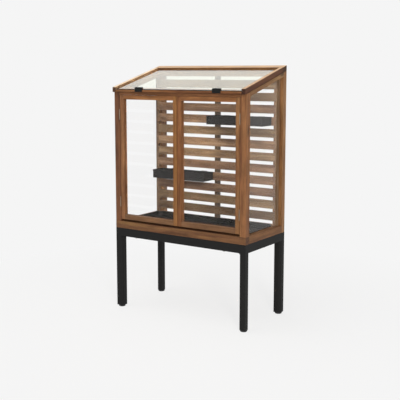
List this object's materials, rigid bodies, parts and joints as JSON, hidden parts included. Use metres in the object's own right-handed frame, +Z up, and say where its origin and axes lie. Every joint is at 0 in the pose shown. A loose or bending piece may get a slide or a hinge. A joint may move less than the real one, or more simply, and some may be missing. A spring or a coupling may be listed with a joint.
{
  "type": "mini greenhouse",
  "caption": "Wooden mini greenhouse: glazed cabinet with double doors, slatted back, lift-up sloping glass roof, hanging planters and floor tray, on a black steel stand.",
  "frame": {"origin": "on the floor, under the middle of the overall box", "axes": "+Z up, +X to the right seen from the front, +Y towards the slatted back"},
  "size_m": [0.75, 0.3853, 1.2038],
  "materials": {
    "stand_steel": "matt black powder coat",
    "glide_plastic": "moulded black",
    "bolt_zinc": "zinc plated",
    "oiled_timber": "oiled reddish-brown hardwood",
    "floor_ply": "plain plywood",
    "clear_glass": "clear float glass",
    "hinge_steel": "zinc plated",
    "catch_plastic": "moulded black",
    "clip_black": "black",
    "planter_metal": "anthracite coat",
    "tray_metal": "anthracite coat"
  },
  "bodies": {
    "cabinet_and_stand": {"front_left_leg": "stand_steel", "front_right_leg": "stand_steel", "rear_left_leg": "stand_steel", "rear_right_leg": "stand_steel", "front_apron_rail": "stand_steel", "rear_apron_rail": "stand_steel", "left_apron_rail": "stand_steel", "right_apron_rail": "stand_steel", "leg_glides": "glide_plastic", "base_fixing_bolts": "bolt_zinc", "front_left_post": "oiled_timber", "front_right_post": "oiled_timber", "front_base_rail": "oiled_timber", "left_base_rail": "oiled_timber", "right_base_rail": "oiled_timber", "left_top_rail": "oiled_timber", "right_top_rail": "oiled_timber", "left_rear_stile": "oiled_timber", "right_rear_stile": "oiled_timber", "rear_left_post": "oiled_timber", "rear_right_post": "oiled_timber", "front_head_rail": "oiled_timber", "rear_top_rail": "oiled_timber", "door_sill_strip": "oiled_timber", "rear_slats": "oiled_timber", "rear_centre_batten": "oiled_timber", "floor_panel": "floor_ply", "left_side_glass": "clear_glass", "right_side_glass": "clear_glass", "door_hinge_post_leaves": "hinge_steel", "door_hinge_pins": "hinge_steel", "roof_hinge_lower_leaves": "hinge_steel", "roof_hinge_pins": "hinge_steel", "magnetic_catches": "catch_plastic"},
    "left_door": {"left_door_hinge_stile": "oiled_timber", "left_door_meeting_stile": "oiled_timber", "left_door_bottom_rail": "oiled_timber", "left_door_top_rail": "oiled_timber", "left_door_glass": "clear_glass", "left_door_glazing_beads": "oiled_timber", "left_door_hinge_leaves": "hinge_steel", "left_catch_plate": "hinge_steel"},
    "right_door": {"right_door_hinge_stile": "oiled_timber", "right_door_meeting_stile": "oiled_timber", "right_door_bottom_rail": "oiled_timber", "right_door_top_rail": "oiled_timber", "right_door_glass": "clear_glass", "right_door_glazing_beads": "oiled_timber", "right_door_hinge_leaves": "hinge_steel", "right_catch_plate": "hinge_steel"},
    "roof_lid": {"roof_left_rail": "oiled_timber", "roof_right_rail": "oiled_timber", "roof_front_rail": "oiled_timber", "roof_rear_rail": "oiled_timber", "roof_glass": "clear_glass", "roof_front_clips": "clip_black", "roof_hinge_upper_leaves": "hinge_steel"},
    "left_planter_body": {"left_planter": "planter_metal"},
    "right_planter_body": {"right_planter": "planter_metal"},
    "floor_tray_body": {"floor_tray": "tray_metal"}
  },
  "joints": [
    {"name": "left_door_hinge", "type": "hinge", "parent": "cabinet_and_stand", "child": "left_door", "pos_m": [-0.342, -0.17995, 0.752], "axis": [0, 0, -1], "range_deg": [0, 170]},
    {"name": "right_door_hinge", "type": "hinge", "parent": "cabinet_and_stand", "child": "right_door", "pos_m": [0.342, -0.17995, 0.752], "axis": [0, 0, 1], "range_deg": [0, 170]},
    {"name": "roof_lid_hinge", "type": "hinge", "parent": "cabinet_and_stand", "child": "roof_lid", "pos_m": [0, 0.19065, 1.179], "axis": [-1, 0, 0], "range_deg": [0, 90]},
    {"name": "left_planter_lift", "type": "slide", "parent": "cabinet_and_stand", "child": "left_planter_body", "axis": [0, 0, 1], "range_m": [0, 0.013]},
    {"name": "right_planter_lift", "type": "slide", "parent": "cabinet_and_stand", "child": "right_planter_body", "axis": [0, 0, 1], "range_m": [0, 0.013]},
    {"name": "floor_tray_lift", "type": "slide", "parent": "cabinet_and_stand", "child": "floor_tray_body", "axis": [0, 0, 1], "range_m": [0, 0.1]}
  ]
}
